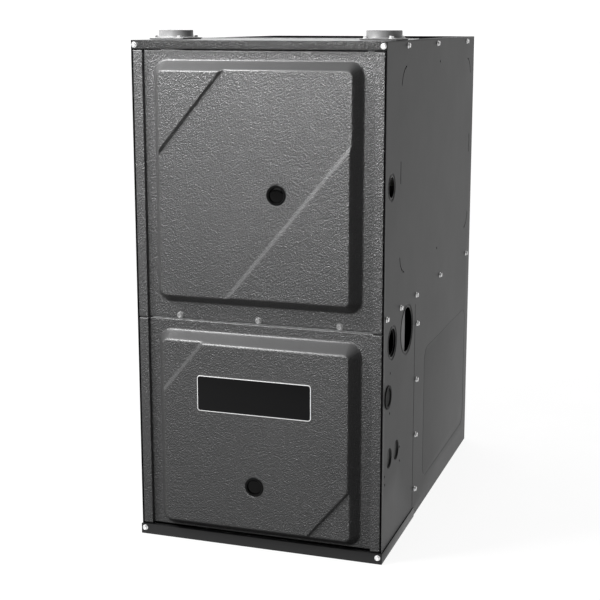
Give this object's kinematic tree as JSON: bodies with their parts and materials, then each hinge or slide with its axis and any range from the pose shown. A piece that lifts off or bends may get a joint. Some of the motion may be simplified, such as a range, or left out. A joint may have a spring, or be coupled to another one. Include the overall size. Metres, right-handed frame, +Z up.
{
  "type": "forced air gas furnace",
  "caption": "Upflow furnace in a tall steel cabinet: lift-off pressed doors, round sight windows, bare top with pipe collars and open air outlet, burners and blower inside.",
  "frame": {"origin": "on the floor, at the middle of the outline's width and depth", "axes": "+Z up, the doors face -Y, +X is to the right of someone who faces the doors"},
  "size_m": [0.4524, 0.7318, 0.8923],
  "materials": {
    "smooth_paint": "smooth dark grey baked paint, satin",
    "door_paint": "dark grey paint with a fine pebbled texture, satin",
    "base_black": "black paint, satin",
    "bare_steel": "bare zinc-coated sheet with a faint spangle",
    "screw_zinc": "bright zinc plate",
    "black_rubber": "matt black moulded rubber",
    "dark_glass": "dark smoked lens, glossy",
    "badge_black": "plain black face inside a thin silver rim",
    "collar_grey": "light grey moulded plastic",
    "bright_shaft": "ground steel",
    "motor_black": "black painted cast shell",
    "board_green": "green circuit board lacquer",
    "black_plastic": "black moulded plastic",
    "white_plastic": "off-white moulded plastic",
    "transformer_steel": "varnished steel laminations",
    "grey_plastic": "pale grey plastic pipe",
    "tube_steel": "aluminised steel, dulled by heat",
    "pipe_black": "black iron pipe, oiled",
    "brass": "turned brass",
    "cast_metal": "die-cast alloy, matt",
    "blue_plastic": "blue moulded plastic",
    "red_plastic": "red moulded plastic",
    "ceramic": "unglazed white ceramic",
    "fin_metal": "thin bright fins and tube sheets"
  },
  "bodies": {
    "casing": {"left_side_panel": "smooth_paint", "right_side_panel": "smooth_paint", "back_panel": "smooth_paint", "base_pan": "base_black", "top_plate": "bare_steel", "front_rail": "door_paint", "blower_deck": "bare_steel", "inner_panel": "bare_steel", "casing_screws": "screw_zinc", "intake_collar": "collar_grey", "flue_collar": "collar_grey", "collar_gaskets": "black_rubber", "drain_plugs": "black_rubber", "blower_housing": "bare_steel", "blower_motor": "motor_black", "motor_bracket": "bare_steel", "blower_rails": "bare_steel", "control_bracket": "bare_steel", "control_board": "board_green", "board_relays": "black_plastic", "board_terminals": "white_plastic", "transformer": "transformer_steel", "door_switch": "black_plastic", "switch_bracket": "bare_steel", "junction_box": "bare_steel", "condensate_trap": "grey_plastic", "drain_hose": "black_rubber", "burner_box": "bare_steel", "burner_cover": "bare_steel", "burners": "tube_steel", "gas_manifold": "pipe_black", "burner_orifices": "brass", "gas_valve": "cast_metal", "rollout_switches": "black_plastic", "igniter": "ceramic", "heat_exchanger": "tube_steel", "rear_header": "tube_steel", "condensing_coil": "fin_metal", "collector_box": "black_plastic", "inducer_housing": "black_plastic", "inducer_motor": "transformer_steel", "vent_pipe": "grey_plastic", "intake_pipe": "grey_plastic", "pressure_switch": "cast_metal"},
    "upper_door": {"upper_door": "door_paint", "upper_door_screws": "screw_zinc", "upper_window_ring": "black_rubber", "upper_window_lens": "dark_glass"},
    "lower_door": {"lower_door": "door_paint", "lower_window_ring": "black_rubber", "lower_window_lens": "dark_glass", "badge_plate": "badge_black"},
    "blower_wheel": {"blower_wheel": "bare_steel", "blower_blades": "bare_steel", "blower_shaft": "bright_shaft"},
    "inducer_wheel": {"inducer_wheel": "bright_shaft"},
    "gas_knob": {"gas_knob": "blue_plastic"},
    "switch_plunger": {"switch_plunger": "white_plastic"},
    "reset_button_left": {"reset_button_left": "red_plastic"},
    "reset_button_right": {"reset_button_right": "red_plastic"}
  },
  "joints": [
    {"name": "upper_door_lift", "type": "slide", "parent": "casing", "child": "upper_door", "axis": [0, -1, 0], "range_m": [0, 0.3]},
    {"name": "lower_door_lift", "type": "slide", "parent": "casing", "child": "lower_door", "axis": [0, -1, 0], "range_m": [0, 0.3]},
    {"name": "blower_spin", "type": "hinge", "parent": "casing", "child": "blower_wheel", "pos_m": [0, 0.10975, 0.218], "axis": [1, 0, 0], "continuous": true},
    {"name": "inducer_spin", "type": "hinge", "parent": "casing", "child": "inducer_wheel", "pos_m": [0.1315, -0.23525, 0.53], "axis": [0, 1, 0], "continuous": true},
    {"name": "gas_knob_turn", "type": "hinge", "parent": "casing", "child": "gas_knob", "pos_m": [0, -0.32525, 0.64], "axis": [0, 1, 0], "range_deg": [0, 90]},
    {"name": "door_switch_press", "type": "slide", "parent": "casing", "child": "switch_plunger", "axis": [0, 1, 0], "range_m": [0, 0.002], "stiffness_N_per_m": 600},
    {"name": "left_reset_press", "type": "slide", "parent": "casing", "child": "reset_button_left", "axis": [0, -1, 0], "range_m": [0, 0.0015]},
    {"name": "right_reset_press", "type": "slide", "parent": "casing", "child": "reset_button_right", "axis": [0, -1, 0], "range_m": [0, 0.0015]}
  ]
}
